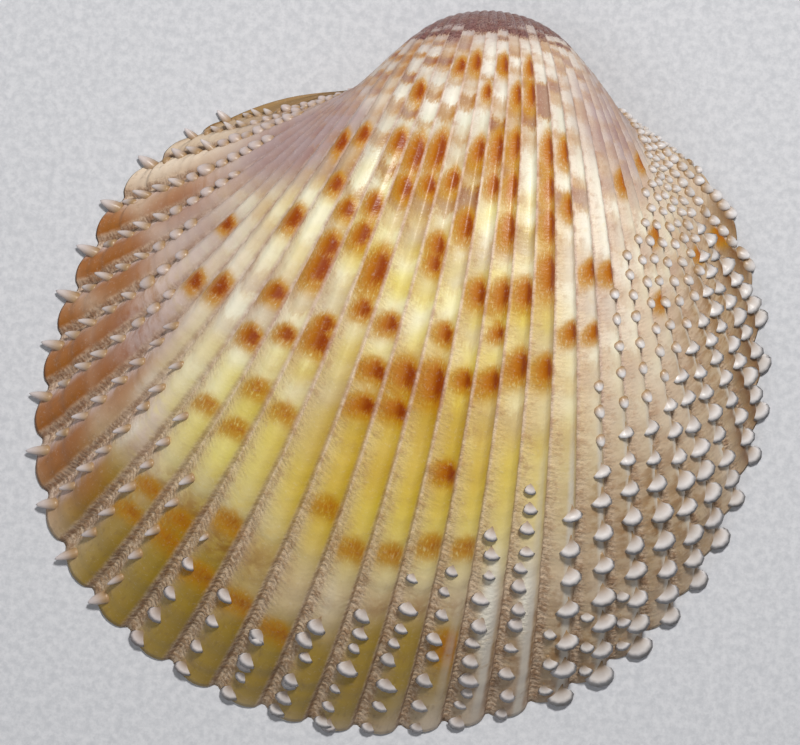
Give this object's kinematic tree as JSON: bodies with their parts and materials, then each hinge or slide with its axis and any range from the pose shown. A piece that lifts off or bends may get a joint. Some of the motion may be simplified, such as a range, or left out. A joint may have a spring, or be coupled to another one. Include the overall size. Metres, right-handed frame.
{
  "type": "cockle shell",
  "caption": "Right valve of a prickly cockle, domed and ribbed with rows of small scales, lying on its rim with the outside up.",
  "frame": {"origin": "centre of the outline, in the plane of the rim", "axes": "+X along the hinge towards the front end, +Y towards the umbo, +Z out of the rim plane through the dome"},
  "size_m": [0.061, 0.0604, 0.0198],
  "materials": {
    "shell": "semi-gloss shell, cream and yellow with orange-brown blotches"
  },
  "bodies": {
    "root": {"valve": "shell"}
  },
  "joints": []
}
